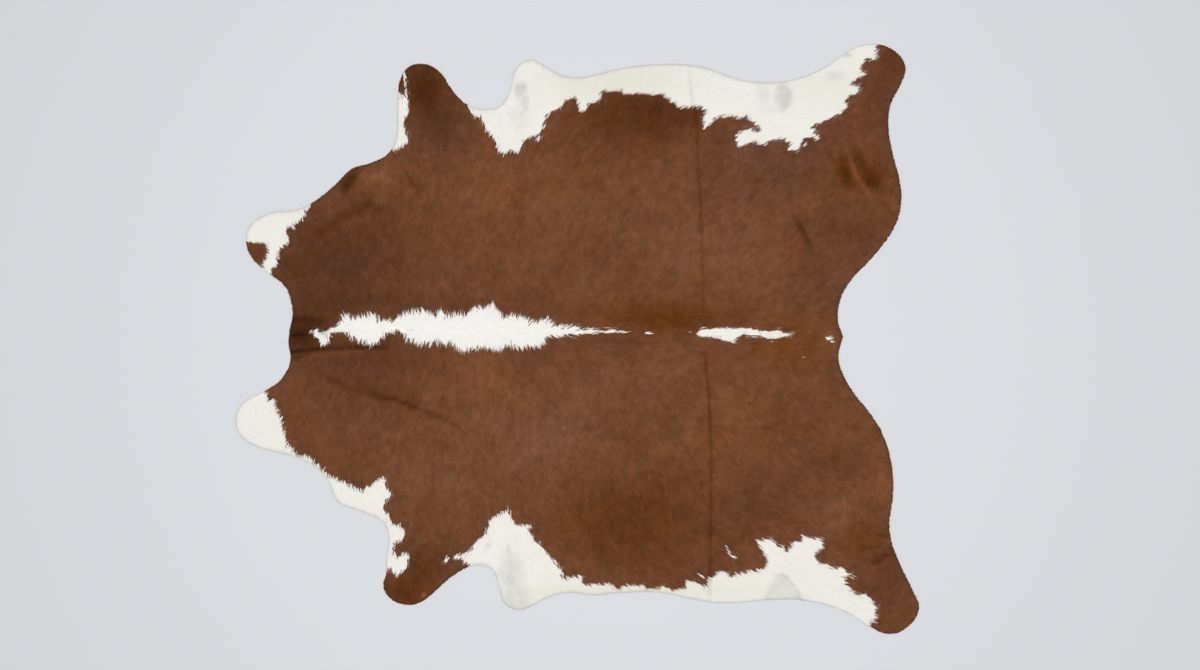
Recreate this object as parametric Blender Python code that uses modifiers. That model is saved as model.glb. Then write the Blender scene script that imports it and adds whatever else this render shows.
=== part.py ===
"""Cowhide rug: one whole hair-on hide, laid flat with its hair side up.

Frame: metres, +Z up. X runs along the spine, from the neck at -X to the tail at +X, and the
flesh side lies on the plane z = 0. The origin is under the middle of the hide's box.

The hide is a sheet: an outline that runs through the landmarks of the animal's skin, a few
low creases that stand up from the floor, and the thickness of leather and lying hair.
"""

from typing import NamedTuple

import bmesh
import bpy
from mathutils import Vector

LEATHER_THICKNESS = 0.0020
LYING_HAIR_DEPTH = 0.0020
STEPS_BETWEEN_LANDMARKS = 4
PLANE_TOLERANCE = 1e-6

HAIR_COLOUR = (0.165, 0.066, 0.028, 1.0)
HAIR_ROUGHNESS = 0.62


class Landmark(NamedTuple):
    """One place on the hide's edge, on the animal's right (+Y) and left (-Y) side."""

    name: str
    right_x: float
    right_y: float
    left_x: float
    left_y: float


class Crease(NamedTuple):
    """A straight low ridge, from its start to its end, that fades over `fade` at both ends."""

    name: str
    start_x: float
    start_y: float
    end_x: float
    end_y: float
    height: float
    half_width: float
    fade: float


NECK_MIDDLE = (-0.931, 0.000)
TAIL_POINT = (0.8585, 0.006)

LANDMARKS = (
    Landmark("neck side", -0.917, 0.085, -0.925, -0.074),
    Landmark("neck corner", -0.941, 0.166, -0.951, -0.128),
    Landmark("cheek front", -0.994, 0.208, -1.008, -0.169),
    Landmark("cheek side", -1.049, 0.262, -1.084, -0.216),
    Landmark("cheek tip", -1.067, 0.318, -1.101, -0.271),
    Landmark("cheek rear", -1.049, 0.371, -1.080, -0.319),
    Landmark("cheek back", -0.985, 0.405, -1.028, -0.350),
    Landmark("throat", -0.899, 0.416, -0.907, -0.383),
    Landmark("shoulder foot", -0.834, 0.451, -0.834, -0.422),
    Landmark("shoulder slope", -0.773, 0.502, -0.797, -0.470),
    Landmark("shoulder point", -0.725, 0.548, -0.774, -0.525),
    Landmark("shoulder top", -0.668, 0.565, -0.700, -0.557),
    Landmark("foreleg crook", -0.604, 0.601, -0.623, -0.596),
    Landmark("foreleg front", -0.581, 0.655, -0.607, -0.645),
    Landmark("foreleg knee", -0.579, 0.740, -0.614, -0.709),
    Landmark("foreleg pastern", -0.578, 0.785, -0.615, -0.755),
    Landmark("foreleg shin", -0.573, 0.823, -0.625, -0.793),
    Landmark("foreleg toe", -0.552, 0.868, -0.606, -0.835),
    Landmark("foreleg end", -0.504, 0.886, -0.544, -0.860),
    Landmark("foreleg heel", -0.450, 0.866, -0.499, -0.848),
    Landmark("foreleg calf", -0.403, 0.803, -0.455, -0.813),
    Landmark("elbow", -0.355, 0.754, -0.396, -0.762),
    Landmark("armpit", -0.299, 0.740, -0.311, -0.730),
    Landmark("brisket root", -0.243, 0.753, -0.269, -0.751),
    Landmark("brisket front", -0.216, 0.801, -0.252, -0.800),
    Landmark("brisket corner", -0.196, 0.870, -0.235, -0.852),
    Landmark("brisket tip", -0.149, 0.899, -0.192, -0.876),
    Landmark("brisket back", -0.102, 0.877, -0.143, -0.861),
    Landmark("brisket end", -0.050, 0.849, -0.094, -0.836),
    Landmark("belly start", 0.006, 0.841, -0.015, -0.820),
    Landmark("navel", 0.070, 0.853, 0.045, -0.828),
    Landmark("belly front", 0.139, 0.870, 0.128, -0.821),
    Landmark("belly", 0.289, 0.884, 0.265, -0.819),
    Landmark("belly back", 0.418, 0.872, 0.400, -0.845),
    Landmark("flank front", 0.515, 0.837, 0.483, -0.853),
    Landmark("flank hollow", 0.600, 0.825, 0.640, -0.842),
    Landmark("flank back", 0.700, 0.835, 0.750, -0.847),
    Landmark("thigh", 0.800, 0.875, 0.872, -0.884),
    Landmark("hock", 0.890, 0.935, 0.947, -0.932),
    Landmark("hind leg end", 0.946, 0.949, 1.009, -0.953),
    Landmark("hind leg toe", 1.015, 0.933, 1.053, -0.940),
    Landmark("hind leg tip", 1.059, 0.877, 1.103, -0.872),
    Landmark("hind leg heel", 1.045, 0.822, 1.080, -0.808),
    Landmark("hind leg back", 1.012, 0.756, 1.040, -0.724),
    Landmark("hind leg crook", 1.004, 0.685, 1.012, -0.645),
    Landmark("buttock foot", 1.016, 0.605, 1.009, -0.576),
    Landmark("buttock", 1.039, 0.515, 1.019, -0.508),
    Landmark("buttock top", 1.046, 0.444, 1.018, -0.436),
    Landmark("hip", 1.027, 0.367, 1.000, -0.347),
    Landmark("rump", 0.952, 0.260, 0.958, -0.260),
    Landmark("rump end", 0.876, 0.178, 0.899, -0.185),
    Landmark("tail root", 0.848, 0.120, 0.859, -0.118),
    Landmark("tail side", 0.842, 0.056, 0.843, -0.060),
)

CREASES = (
    Crease("fold across the hide", 0.358, 1.050, 0.446, -1.050, 0.0030, 0.036, 0.060),
    Crease("crease behind the neck", -0.885, -0.108, -0.380, -0.283, 0.0024, 0.028, 0.120),
    Crease("wrinkle on the neck", -1.000, -0.046, -0.600, -0.029, 0.0018, 0.020, 0.130),
    Crease("pucker at the shoulder", -0.722, 0.575, -0.772, 0.440, 0.0026, 0.026, 0.055),
    Crease("crease on the rump", 0.682, 0.425, 0.772, 0.262, 0.0020, 0.024, 0.060),
)


def clear_scene() -> None:
    """Remove every object that the file opened with."""
    for leftover in list(bpy.data.objects):
        bpy.data.objects.remove(leftover, do_unlink=True)


def new_collection(name: str) -> bpy.types.Collection:
    """Add a collection to the scene."""
    collection = bpy.data.collections.new(name)
    bpy.context.scene.collection.children.link(collection)
    return collection


def outline_points() -> list[Vector]:
    """Walk the edge once round: right side neck to tail, then left side tail to neck."""
    walk = [NECK_MIDDLE]
    walk += [(mark.right_x, mark.right_y) for mark in LANDMARKS]
    walk += [TAIL_POINT]
    walk += [(mark.left_x, mark.left_y) for mark in reversed(LANDMARKS)]
    return [Vector((x, y, 0.0)) for x, y in walk]


def outline_curve(collection: bpy.types.Collection) -> bpy.types.Object:
    """Run one smooth closed curve through the landmarks, with a corner at the tail point."""
    data = bpy.data.curves.new("outline", "CURVE")
    data.dimensions = "2D"
    data.fill_mode = "NONE"
    data.resolution_u = STEPS_BETWEEN_LANDMARKS
    data.render_resolution_u = STEPS_BETWEEN_LANDMARKS
    spline = data.splines.new("BEZIER")
    spline.use_cyclic_u = True
    walk = outline_points()
    spline.bezier_points.add(len(walk) - 1)
    for point, place in zip(spline.bezier_points, walk):
        point.co = place
        handle = "VECTOR" if place.xy == Vector(TAIL_POINT) else "AUTO"
        point.handle_left_type = handle
        point.handle_right_type = handle
    outline = bpy.data.objects.new("outline", data)
    collection.objects.link(outline)
    return outline


def outline_mesh(outline: bpy.types.Object) -> bpy.types.Mesh:
    """Turn the outline curve into a mesh of edges, centred on the origin, and drop the curve."""
    evaluated = outline.evaluated_get(bpy.context.evaluated_depsgraph_get())
    mesh = bpy.data.meshes.new_from_object(evaluated)
    bpy.data.objects.remove(outline, do_unlink=True)
    low_x = min(vertex.co.x for vertex in mesh.vertices)
    high_x = max(vertex.co.x for vertex in mesh.vertices)
    low_y = min(vertex.co.y for vertex in mesh.vertices)
    high_y = max(vertex.co.y for vertex in mesh.vertices)
    middle = Vector(((low_x + high_x) / 2, (low_y + high_y) / 2, 0.0))
    for vertex in mesh.vertices:
        vertex.co -= middle
    return mesh


class CreaseFrame:
    """Measures along and across one crease."""

    def __init__(self, crease: Crease) -> None:
        self.crease = crease
        self.start = Vector((crease.start_x, crease.start_y, 0.0))
        end = Vector((crease.end_x, crease.end_y, 0.0))
        self.length = (end - self.start).length
        self.along = (end - self.start).normalized()
        self.across = Vector((-self.along.y, self.along.x, 0.0))

    def distance_along(self, place: Vector) -> float:
        """Distance from the start, measured along the crease."""
        return (place - self.start).dot(self.along)

    def distance_across(self, place: Vector) -> float:
        """Signed distance from the crest."""
        return (place - self.start).dot(self.across)

    def rise(self, place: Vector) -> float:
        """Height of the ridge at a place: straight slopes to the crest, faded at the ends."""
        slope = 1.0 - abs(self.distance_across(place)) / self.crease.half_width
        from_end = min(self.distance_along(place), self.length - self.distance_along(place))
        fade = min(1.0, from_end / self.crease.fade)
        return self.crease.height * max(0.0, slope) * max(0.0, fade)


def cut_sheet(sheet: bmesh.types.BMesh, faces: list, place: Vector, normal: Vector) -> None:
    """Cut the given faces along the plane through a place."""
    edges = {edge for face in faces for edge in face.edges}
    corners = {vertex for face in faces for vertex in face.verts}
    bmesh.ops.bisect_plane(
        sheet,
        geom=[*corners, *edges, *faces],
        dist=PLANE_TOLERANCE,
        plane_co=place,
        plane_no=normal,
    )


def cut_crease_lines(sheet: bmesh.types.BMesh, frame: CreaseFrame) -> None:
    """Cut the sheet where a crease starts, fades and ends, then along its feet and crest."""
    crease = frame.crease
    for distance in (0.0, crease.fade, frame.length - crease.fade, frame.length):
        place = frame.start + frame.along * distance
        cut_sheet(sheet, list(sheet.faces), place, frame.along)
    for offset in (-crease.half_width, 0.0, crease.half_width):
        band = [
            face for face in sheet.faces
            if 0.0 < frame.distance_along(face.calc_center_median()) < frame.length
        ]
        cut_sheet(sheet, band, frame.start + frame.across * offset, frame.across)


def creased_sheet(mesh: bpy.types.Mesh) -> None:
    """Fill the outline with one face, cut it along the creases and lift their crests."""
    sheet = bmesh.new()
    sheet.from_mesh(mesh)
    bmesh.ops.edgeloop_fill(sheet, edges=list(sheet.edges))
    sheet.normal_update()
    face_down = [face for face in sheet.faces if face.normal.z < 0.0]
    bmesh.ops.reverse_faces(sheet, faces=face_down)
    frames = [CreaseFrame(crease) for crease in CREASES]
    for frame in frames:
        cut_crease_lines(sheet, frame)
    for vertex in sheet.verts:
        vertex.co.z = max(frame.rise(vertex.co) for frame in frames)
    bmesh.ops.triangulate(sheet, faces=list(sheet.faces))
    sheet.to_mesh(mesh)
    sheet.free()


def hair_on_leather() -> bpy.types.Material:
    """Brown cowhair as the part's plain finish."""
    material = bpy.data.materials.new("hair_on_leather")
    material.use_nodes = True
    shader = material.node_tree.nodes["Principled BSDF"]
    shader.inputs["Base Color"].default_value = HAIR_COLOUR
    shader.inputs["Roughness"].default_value = HAIR_ROUGHNESS
    shader.inputs["Metallic"].default_value = 0.0
    return material


def build_hide(collection: bpy.types.Collection) -> bpy.types.Object:
    """Make the hide: creased sheet, thickened upwards from its flesh side."""
    mesh = outline_mesh(outline_curve(collection))
    mesh.name = "hide"
    creased_sheet(mesh)
    mesh.materials.append(hair_on_leather())
    hide = bpy.data.objects.new("hide", mesh)
    collection.objects.link(hide)
    solidify = hide.modifiers.new("leather and hair", "SOLIDIFY")
    solidify.thickness = LEATHER_THICKNESS + LYING_HAIR_DEPTH
    solidify.offset = 1.0
    solidify.use_even_offset = True
    return hide


def main() -> None:
    """Build the rug."""
    clear_scene()
    build_hide(new_collection("cowhide_rug"))


main()
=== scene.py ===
"""Visual model of the cowhide rug: its leather, its underfur and its coat of combed hair.

The frame is the CAD part's: X runs along the spine from neck to tail, and +Z is up out of the
hair side. Right is the animal's right side (+Y), left its left side (-Y). The tables of creases,
marks, flecks and zones are in millimetres, as on a pattern maker's sheet, and all else is in metres.
"""

import logging
import math
from dataclasses import dataclass
from enum import Enum
from typing import ClassVar, Iterable, NamedTuple

import bmesh
import bpy
import numpy as np
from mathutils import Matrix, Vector
from mathutils.bvhtree import BVHTree


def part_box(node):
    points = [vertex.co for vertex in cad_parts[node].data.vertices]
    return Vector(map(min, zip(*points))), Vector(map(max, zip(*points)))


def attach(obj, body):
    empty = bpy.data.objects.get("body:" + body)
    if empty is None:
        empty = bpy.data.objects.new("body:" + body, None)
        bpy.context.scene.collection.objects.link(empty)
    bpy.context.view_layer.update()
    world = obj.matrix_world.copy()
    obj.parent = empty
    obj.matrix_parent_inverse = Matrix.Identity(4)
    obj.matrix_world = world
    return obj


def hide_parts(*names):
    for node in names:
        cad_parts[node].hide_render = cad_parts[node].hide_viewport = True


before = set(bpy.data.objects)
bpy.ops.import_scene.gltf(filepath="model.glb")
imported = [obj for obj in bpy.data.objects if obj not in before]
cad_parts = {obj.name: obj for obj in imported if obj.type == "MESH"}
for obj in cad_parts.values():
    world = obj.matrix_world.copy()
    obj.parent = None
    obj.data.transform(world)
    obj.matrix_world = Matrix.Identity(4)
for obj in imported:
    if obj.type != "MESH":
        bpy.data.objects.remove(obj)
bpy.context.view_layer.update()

LOG = logging.getLogger("cowhide_rug")

Places = np.ndarray  # one row of x, y for each place
Point = tuple[float, float]
Colour = tuple[float, float, float]
Socket = bpy.types.NodeSocket
Feed = Socket | float | Colour

NODE = "hide"
BODY = "root"
BAKE_MAP = "OFBake"
COAT_LAYER = "coat"
SKIN_LAYER = "skin"

CAD_THICKNESS = 0.0040
LEATHER_THICKNESS = 0.0019
UNDERFUR_THICKNESS = 0.0008

MM = 1000.0
TINY = 1e-9
WELD = 1e-6
CHUNK = 6000
NOISE_PERIOD = 256


def metres(sizes: Iterable[Point] | Point) -> np.ndarray:
    """Turn millimetres into metres."""
    return np.array(sizes) / MM


def read_table(table: np.ndarray, corner: np.ndarray, share: np.ndarray) -> np.ndarray:
    """Read a table of values between its cells; past its last cell it starts again.

    Args:
        table: The values.
        corner: The cell below and left of each place.
        share: How far each place lies from that cell to the next, from 0 to 1.

    Returns:
        One value for each place.
    """
    column, row = (corner % table.shape).T
    next_column, next_row = ((corner + 1) % table.shape).T
    low = table[column, row] * (1.0 - share[:, 0]) + table[next_column, row] * share[:, 0]
    high = table[column, next_row] * (1.0 - share[:, 0]) + table[next_column, next_row] * share[:, 0]
    return low * (1.0 - share[:, 1]) + high * share[:, 1]


def soft_noise(places: Places, size: float, seed: int) -> np.ndarray:
    """Draw a smooth random field.

    Args:
        places: Where to read the field.
        size: Width of one swell of the field, in metres.
        seed: Number that picks the field.

    Returns:
        One value for each place, from -1 to 1.
    """
    table = np.random.default_rng(seed).uniform(-1.0, 1.0, (NOISE_PERIOD, NOISE_PERIOD))
    cells = places / size
    corner = np.floor(cells).astype(int)
    part = cells - corner
    return read_table(table, corner, part * part * (3.0 - 2.0 * part))


def nearest_on_path(places: Places, path: Places, closed: bool) -> tuple[np.ndarray, np.ndarray]:
    """Measure places against a path of straight runs.

    Args:
        places: Places to measure.
        path: The path's points.
        closed: Whether a last run joins the end to the start.

    Returns:
        The distance to the path, and how far along the path the nearest point lies.
    """
    ends = np.roll(path, -1, axis=0) if closed else path[1:]
    starts = path if closed else path[:-1]
    runs = ends - starts
    lengths = np.maximum(np.linalg.norm(runs, axis=1), TINY)
    before = np.concatenate([[0.0], np.cumsum(lengths)[:-1]])
    distances = np.empty(len(places))
    positions = np.empty(len(places))
    for first in range(0, len(places), CHUNK):
        block = places[first:first + CHUNK]
        gap_x = block[:, None, 0] - starts[None, :, 0]
        gap_y = block[:, None, 1] - starts[None, :, 1]
        share = (gap_x * runs[:, 0] + gap_y * runs[:, 1]) / lengths ** 2
        np.clip(share, 0.0, 1.0, out=share)
        square = (gap_x - share * runs[:, 0]) ** 2 + (gap_y - share * runs[:, 1]) ** 2
        best = square.argmin(axis=1)
        rows = np.arange(len(block))
        distances[first:first + CHUNK] = np.sqrt(square[rows, best])
        positions[first:first + CHUNK] = before[best] + share[rows, best] * lengths[best]
    return distances, positions


def inside_loop(places: Places, loop: Places) -> np.ndarray:
    """Tell which places lie inside a closed loop, by counting the edges to their right.

    Args:
        places: Places to test.
        loop: The loop's corners.

    Returns:
        True for each place inside.
    """
    inside = np.zeros(len(places), bool)
    for start, end in zip(loop, np.roll(loop, -1, axis=0)):
        if start[1] == end[1]:
            continue
        between = (start[1] > places[:, 1]) != (end[1] > places[:, 1])
        share = (places[:, 1] - start[1]) / (end[1] - start[1])
        inside ^= between & (places[:, 0] < start[0] + share * (end[0] - start[0]))
    return inside


def depth_in_loop(places: Places, loop: Places, reach: float = 0.06) -> np.ndarray:
    """Measure how deep places lie inside a closed loop.

    Args:
        places: Places to measure.
        loop: The loop's corners.
        reach: Distance past which a place outside counts as that far out.

    Returns:
        The distance to the loop, positive inside and negative outside.
    """
    near = np.all((places > loop.min(0) - reach) & (places < loop.max(0) + reach), axis=1)
    depth = np.full(len(places), -reach)
    chosen = places[near]
    distance = nearest_on_path(chosen, loop, closed=True)[0]
    depth[near] = np.where(inside_loop(chosen, loop), distance, -distance)
    return depth


def deselect_all() -> None:
    """Leave object mode with nothing selected."""
    if bpy.context.mode != "OBJECT":
        bpy.ops.object.mode_set(mode="OBJECT")
    bpy.ops.object.select_all(action="DESELECT")


def points_of(mesh: bpy.types.Mesh) -> np.ndarray:
    """Read a mesh's points.

    Args:
        mesh: The mesh.

    Returns:
        One row of x, y, z for each point.
    """
    spots = np.empty(len(mesh.vertices) * 3)
    mesh.vertices.foreach_get("co", spots)
    return spots.reshape(-1, 3)


def make_active(piece: bpy.types.Object) -> None:
    """Select one object alone and make it the active one.

    Args:
        piece: The object.
    """
    deselect_all()
    piece.select_set(True)
    bpy.context.view_layer.objects.active = piece


class Zone(NamedTuple):
    """A soft oval patch of the hide, in metres, with values that fade out from its middle."""

    name: str
    x: float
    y: float
    radius_x: float
    radius_y: float
    value: float
    warmth: float = 0.0


def zones(*rows: tuple[str | float, ...]) -> tuple[Zone, ...]:
    """Read a table of zones.

    Args:
        rows: Name, middle and radii along X and Y in millimetres, value and perhaps warmth.

    Returns:
        The zones.
    """
    return tuple(Zone(row[0], *(size / MM for size in row[1:5]), *row[5:]) for row in rows)


def zone_weights(zone: Zone, places: Places, steepness: float = 1.0) -> np.ndarray:
    """Weigh places against a zone.

    Args:
        zone: The zone.
        places: Places to weigh.
        steepness: 1 fades softly; more gives a flat middle and a clearer edge.

    Returns:
        1 at the zone's middle, near 0 past its edge.
    """
    across = (places[:, 0] - zone.x) / zone.radius_x
    down = (places[:, 1] - zone.y) / zone.radius_y
    return np.exp(-(across ** 2 + down ** 2) ** steepness)


class Outline:
    """The hide's cut edge, read from the flesh side of the CAD sheet."""

    FACES_DOWN: ClassVar[float] = -0.5

    def __init__(self, node: bpy.types.Object) -> None:
        """Walk the rim of the node's lower face.

        Args:
            node: The CAD sheet.
        """
        shape = bmesh.new()
        shape.from_mesh(node.data)
        bmesh.ops.remove_doubles(shape, verts=shape.verts, dist=WELD)
        above = [face for face in shape.faces if face.normal.z > self.FACES_DOWN]
        bmesh.ops.delete(shape, geom=above, context="FACES")
        rim = [edge for edge in shape.edges if edge.is_boundary]
        edge = rim[0]
        corner = edge.verts[0]
        first = corner
        walk = []
        while True:
            walk.append(corner.co.xy.copy())
            corner = edge.other_vert(corner)
            if corner is first:
                break
            edge = next(e for e in corner.link_edges if e.is_boundary and e is not edge)
        shape.free()
        loop = np.array(walk)
        following = np.roll(loop, -1, axis=0)
        twice_area = np.sum(loop[:, 0] * following[:, 1] - following[:, 0] * loop[:, 1])
        self.loop = loop if twice_area > 0 else loop[::-1].copy()
        self.area = abs(twice_area) / 2

    def depth(self, places: Places, reach: float = 0.06) -> np.ndarray:
        """Distance from the edge, positive on the hide."""
        return depth_in_loop(places, self.loop, reach)

    def inset(self, margin: float) -> Places:
        """Move the outline inwards.

        Args:
            margin: How far.

        Returns:
            The moved corners.
        """
        before = np.roll(self.loop, 1, axis=0)
        after = np.roll(self.loop, -1, axis=0)
        along = after - before
        along /= np.linalg.norm(along, axis=1)[:, None]
        inward = np.stack([-along[:, 1], along[:, 0]], axis=1)
        return self.loop + inward * margin


class Crease(NamedTuple):
    """A crease in the hide, in millimetres: how far it rises or sinks, its width and its painted shade,
    which darkens the coat along a trough and, where positive, paints light along a ridge.

    A steepness of 1 fades softly to its sides; more gives a flat bottom with clearer edges.
    """

    name: str
    rise: float
    half_width: float
    shade: float
    steepness: float
    path: tuple[Point, ...]


# A negative shade is painted shade in a crease's trough. A positive shade is painted light on a ridge,
# as on the light roll of the flank whorl and on the ridge below the wrinkle.
CREASES = tuple(Crease(*row) for row in (
    ("fold across the hide, right", -0.5, 5.2, -0.16, 1, ((362, 885), (372, 760), (389, 680),
     (392, 550), (398, 460), (408, 200), (412, 60))),
    ("fold across the hide, left", -0.5, 5.2, -0.22, 1, ((415, -20), (425, -200), (435, -340),
     (432, -600), (428, -850))),
    ("wrinkle on the neck", -0.7, 5.2, -0.5, 1.2, ((-985, -46), (-919, -41), (-852, -36), (-745, -31),
     (-600, -29))),
    ("ridge below the wrinkle", 1.2, 8, 0.16, 1, ((-915, -60), (-800, -50), (-660, -44))),
    ("crease behind the neck", -0.6, 5.6, -0.17, 1, ((-680, -176), (-579, -200), (-526, -221),
     (-431, -262), (-389, -286), (-347, -316))),
    ("soft start of the crease behind the neck", -0.4, 13, -0.14, 1, ((-870, -98), (-805, -128),
     (-746, -155), (-680, -176), (-560, -206), (-500, -232))),
    ("shade above the crease behind the neck", -0.2, 28, -0.11, 1, ((-760, -120), (-680, -150),
     (-590, -172), (-490, -212))),
    ("crease on the rump", -0.6, 8.5, -0.24, 1, ((690, 412), (712, 380), (738, 329), (766, 280))),
    ("bend of the throat", -0.4, 18, -0.15, 1, ((-860, 325), (-760, 392), (-680, 432), (-570, 400))),
    ("hollow below the pucker", -0.3, 12, -0.1, 1, ((-712, 420), (-672, 442), (-655, 480))),
    ("pucker at the shoulder", -0.7, 20, -0.38, 1.4, ((-706, 560), (-733, 514), (-772, 464))),
    ("light streak by the pucker", 0.3, 12, 0.12, 1, ((-694, 505), (-655, 520), (-600, 540))),
    ("crease above the foreleg", -0.4, 5.2, -0.22, 1, ((-570, 568), (-540, 520), (-500, 460))),
    ("light roll of the flank whorl", 1.4, 6.5, 0.22, 1, ((868, 612), (880, 580), (902, 530),
     (936, 482), (975, 440))),
    ("front hollow of the flank whorl", -0.6, 18.5, -0.19, 2, ((850, 625), (858, 590), (864, 540),
     (878, 505), (898, 478))),
    ("outer streak of the flank whorl", -0.3, 8.5, -0.15, 1, ((800, 635), (818, 600), (832, 555),
     (848, 520))),
    ("rear hollow of the flank whorl", -0.6, 19, -0.21, 1.8, ((888, 635), (906, 588), (926, 545),
     (956, 503), (990, 478))),
    ("foot of the flank whorl", -0.3, 10, -0.14, 1, ((965, 455), (998, 425), (1020, 400))),
    ("upper wrinkle of the left hind leg", -0.4, 6.2, -0.21, 1, ((950, -628), (985, -638),
     (1020, -640))),
    ("middle wrinkle of the left hind leg", -0.5, 7, -0.19, 1, ((950, -690), (990, -700),
     (1045, -700))),
    ("lower wrinkle of the left hind leg", -0.4, 8, -0.24, 1, ((946, -732), (970, -718), (996, -706))),
    ("first wrinkle at the neck edge", -0.4, 6.2, -0.28, 1, ((-960, 6), (-915, 10), (-850, 14))),
    ("second wrinkle at the neck edge", -0.4, 8, -0.24, 1, ((-980, 60), (-900, 64), (-830, 62),
     (-780, 70))),
    ("third wrinkle at the neck edge", -0.4, 6, -0.22, 1, ((-980, -64), (-905, -58), (-850, -54))),
))


class Relief:
    """Height of the hide's lower face above the floor: the CAD sheet's ridges, made soft."""

    CELL: ClassVar[float] = 0.012
    BORDER: ClassVar[float] = 0.05
    PROBE_HEIGHT: ClassVar[float] = 0.02
    SMOOTHING_PASSES: ClassVar[int] = 3
    FADE: ClassVar[float] = 0.045
    REACH: ClassVar[float] = 3.0
    SWAY: ClassVar[float] = 0.0025
    SWAY_SIZE: ClassVar[float] = 0.05
    SWAY_SEEDS: ClassVar[tuple[int, int]] = (71, 72)
    USUAL_DEPTH: ClassVar[float] = 0.92
    UNEVENNESS: ClassVar[float] = 0.16
    UNEVEN_SIZE: ClassVar[float] = 0.06
    UNEVEN_SEED: ClassVar[int] = 73
    UNDER_RIDGE: ClassVar[float] = 0.85

    def __init__(self, node: bpy.types.Object) -> None:
        """Read the CAD sheet's upper face on a lattice and smooth what was read.

        Args:
            node: The CAD sheet.
        """
        low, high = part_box(NODE)
        self.origin = np.array([low.x - self.BORDER, low.y - self.BORDER])
        columns = int((high.x - low.x + 2.0 * self.BORDER) / self.CELL) + 2
        rows = int((high.y - low.y + 2.0 * self.BORDER) / self.CELL) + 2
        tree = BVHTree.FromObject(node, bpy.context.evaluated_depsgraph_get())
        heights = np.zeros((columns, rows))
        for column in range(columns):
            for row in range(rows):
                x, y = self.origin + np.array([column, row]) * self.CELL
                hit = tree.find_nearest(Vector((x, y, high.z + self.PROBE_HEIGHT)))[0]
                heights[column, row] = max(0.0, hit.z - CAD_THICKNESS)
        for _ in range(self.SMOOTHING_PASSES):
            for axis in (0, 1):
                before = np.roll(heights, 1, axis)
                after = np.roll(heights, -1, axis)
                heights = (before + 2.0 * heights + after) / 4.0
        self.heights = heights

    def ridges(self, places: Places) -> np.ndarray:
        """Read the smoothed ridges of the CAD sheet.

        Args:
            places: Where to read them.

        Returns:
            Their height at each place.
        """
        cells = (places - self.origin) / self.CELL
        limit = np.array(self.heights.shape) - 2
        corner = np.clip(np.floor(cells).astype(int), 0, limit)
        return read_table(self.heights, corner, np.clip(cells - corner, 0.0, 1.0))

    def crease_weights(
        self, crease: Crease, places: Places, least_half_width: float = 0.0
    ) -> np.ndarray:
        """Weigh places against a crease.

        Args:
            crease: The crease.
            places: Places to weigh.
            least_half_width: A narrower trough is read as if it were this wide.

        Returns:
            1 on the crease's line, 0 past its width and its ends.
        """
        path = metres(crease.path)
        half_width = crease.half_width / MM
        if crease.rise < 0.0:
            half_width = max(half_width, least_half_width)
        reach = half_width * self.REACH
        near = np.all((places > path.min(0) - reach) & (places < path.max(0) + reach), axis=1)
        weights = np.zeros(len(places))
        chosen = places[near]
        sways = [soft_noise(chosen, self.SWAY_SIZE, seed) for seed in self.SWAY_SEEDS]
        swayed = chosen + self.SWAY * np.stack(sways, axis=1)
        distance, position = nearest_on_path(swayed, path, closed=False)
        length = np.linalg.norm(np.diff(path, axis=0), axis=1).sum()
        fade = min(self.FADE, length / 3.0)
        ends = np.clip(np.minimum(position, length - position) / fade, 0.0, 1.0)
        uneven = soft_noise(chosen, self.UNEVEN_SIZE, self.UNEVEN_SEED)
        uneven = self.USUAL_DEPTH + self.UNEVENNESS * uneven
        across = (distance / half_width) ** 2
        weights[near] = np.exp(-across ** crease.steepness) * ends * uneven
        return weights

    def height(self, places: Places, least_half_width: float = 0.0) -> np.ndarray:
        """Measure the hide's height above its flat lie, ridges and creases together.

        Args:
            places: Where to measure it.
            least_half_width: Narrower troughs are read as if they were this wide, and ridges
                as lower, so that a coarse layer stays under the hair on them.

        Returns:
            The height at each place.
        """
        total = self.ridges(places)
        for crease in CREASES:
            share = self.UNDER_RIDGE if least_half_width > 0.0 and crease.rise > 0.0 else 1.0
            weights = self.crease_weights(crease, places, least_half_width)
            total += share * (crease.rise / MM) * weights
        return total


class FlowMark(NamedTuple):
    """The way the hair lies at one place of the right side, in millimetres and degrees from +X."""

    name: str
    x: float
    y: float
    angle: float


FLOW_MARKS = tuple(FlowMark(*row) for row in (
    ("poll", -920, 30, 125), ("crest", -750, 50, 110), ("withers", -500, 60, 103),
    ("back", -280, 60, 94), ("middle back", -120, 50, 76), ("end of the mark", -10, 35, 40),
    ("tail of the mark", 60, 30, 8), ("loin", 300, 20, 6), ("croup", 600, 20, 3), ("tail", 830, 10, 1),
    ("neck", -900, 200, 118), ("lower neck", -700, 250, 100), ("shoulder", -450, 250, 88),
    ("ribs", -200, 250, 80), ("rear ribs", 50, 200, 68), ("side of the loin", 350, 200, 56),
    ("hip", 600, 200, 46), ("pin", 800, 150, 35), ("cheek", -1030, 300, 140),
    ("throat", -850, 380, 100), ("shoulder point", -650, 450, 86), ("upper arm", -500, 600, 92),
    ("foreleg end", -500, 850, 100), ("elbow", -400, 700, 126), ("lower ribs", -300, 550, 76),
    ("brisket", -150, 700, 54), ("brisket end", -150, 870, 74), ("barrel", 100, 550, 66),
    ("navel", 100, 800, 42), ("rear barrel", 350, 500, 58), ("belly", 350, 800, 38),
    ("flank", 600, 450, 48), ("flank fold", 600, 750, 34), ("stifle", 750, 600, 30),
    ("thigh", 850, 420, 42), ("buttock", 960, 340, 52), ("whorl", 930, 530, 84),
    ("hind leg", 970, 740, 36), ("hind leg end", 1010, 900, 28), ("inner thigh", 880, 840, 25),
))


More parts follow.
